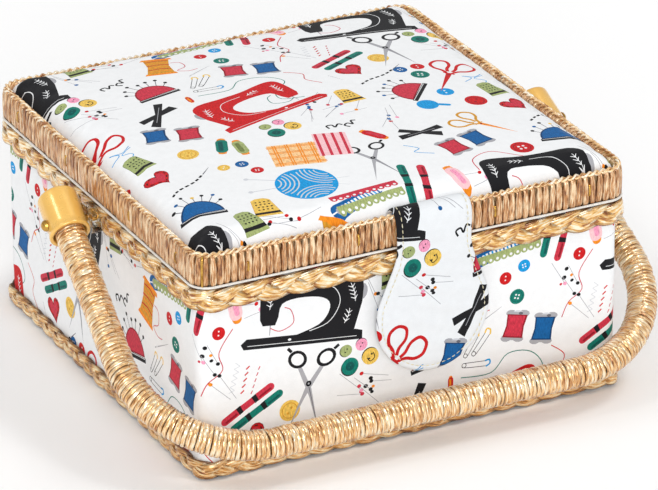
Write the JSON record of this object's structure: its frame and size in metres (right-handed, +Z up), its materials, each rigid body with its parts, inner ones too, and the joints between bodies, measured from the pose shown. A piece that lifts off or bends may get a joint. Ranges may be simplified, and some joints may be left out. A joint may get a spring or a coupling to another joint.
{
  "type": "sewing box with trays",
  "caption": "Square fabric-covered sewing basket with padded hinged lid, closing flap, swinging bail handle, braided straw trim and sliding inner trays.",
  "frame": {"origin": "middle of the box's underside, on the surface it stands on", "axes": "+Z up; -Y is the front, where the flap and the lowered handle are; +X to the right seen from the front"},
  "size_m": [0.3166, 0.2793, 0.1385],
  "materials": {
    "printed_cotton": "matt plain-weave cotton with a printed sewing motif",
    "lining_cloth": "soft satin sheen",
    "rush_winding": "twisted paper rush, satin",
    "straw_braid": "plaited straw, slight gloss",
    "handle_winding": "tightly wound polished straw",
    "fibreboard": "raw board",
    "cane": "raw cane",
    "felt": "felt",
    "ferrule_plastic": "satin gold",
    "clear_plastic": "frosted translucent",
    "brass": "polished",
    "steel": "brushed",
    "foam": "open foam",
    "pincushion_cloth": "cotton velvet",
    "tray_plastic": "satin moulded"
  },
  "bodies": {
    "box": {"bottom_felt": "felt", "base_board": "fibreboard", "wall_board": "fibreboard", "outer_cover": "printed_cotton", "wall_lining": "lining_cloth", "floor_lining": "lining_cloth", "top_braid": "straw_braid", "bottom_braid": "straw_braid", "upper_ledge_front": "lining_cloth", "lower_ledge_front": "lining_cloth", "upper_ledge_rear": "lining_cloth", "lower_ledge_rear": "lining_cloth", "catch_disc": "steel", "pivot_block_left": "clear_plastic", "pivot_bolt_left": "brass", "pivot_nut_left": "steel", "hinge_leaf_body_left": "brass", "hinge_pin_left": "brass", "pivot_block_right": "clear_plastic", "pivot_bolt_right": "brass", "pivot_nut_right": "steel", "hinge_leaf_body_right": "brass", "hinge_pin_right": "brass"},
    "lid": {"lid_rim_wrap": "rush_winding", "lid_frame": "fibreboard", "lid_piping": "lining_cloth", "lid_panel": "fibreboard", "lid_lining": "lining_cloth", "lid_cover": "printed_cotton", "lid_padding": "foam", "lid_pincushion": "pincushion_cloth", "lid_pocket": "lining_cloth", "hinge_leaf_lid_left": "brass", "hinge_leaf_lid_right": "brass", "flap_root": "printed_cotton"},
    "flap": {"flap_cloth": "printed_cotton", "flap_magnet": "steel"},
    "handle": {"handle_core": "cane", "handle_wrap": "handle_winding", "ferrule_left": "ferrule_plastic", "ferrule_right": "ferrule_plastic"},
    "upper_tray": {"upper_tray_shell": "tray_plastic"},
    "lower_tray": {"lower_tray_shell": "tray_plastic"}
  },
  "joints": [
    {"name": "lid_hinge", "type": "hinge", "parent": "box", "child": "lid", "pos_m": [0, 0.1284, 0.1088], "axis": [-1, 0, 0], "range_deg": [0, 105]},
    {"name": "handle_swing", "type": "hinge", "parent": "box", "child": "handle", "pos_m": [0, -0.002, 0.1015], "axis": [-1, 0, 0], "range_deg": [0, 235]},
    {"name": "flap_fold", "type": "hinge", "parent": "lid", "child": "flap", "pos_m": [0.008, -0.128, 0.1274], "axis": [-1, 0, 0], "range_deg": [0, 150]},
    {"name": "upper_tray_slide", "type": "slide", "parent": "box", "child": "upper_tray", "axis": [1, 0, 0], "range_m": [0, 0.1165]},
    {"name": "lower_tray_slide", "type": "slide", "parent": "box", "child": "lower_tray", "axis": [-1, 0, 0], "range_m": [0, 0.1165]}
  ]
}
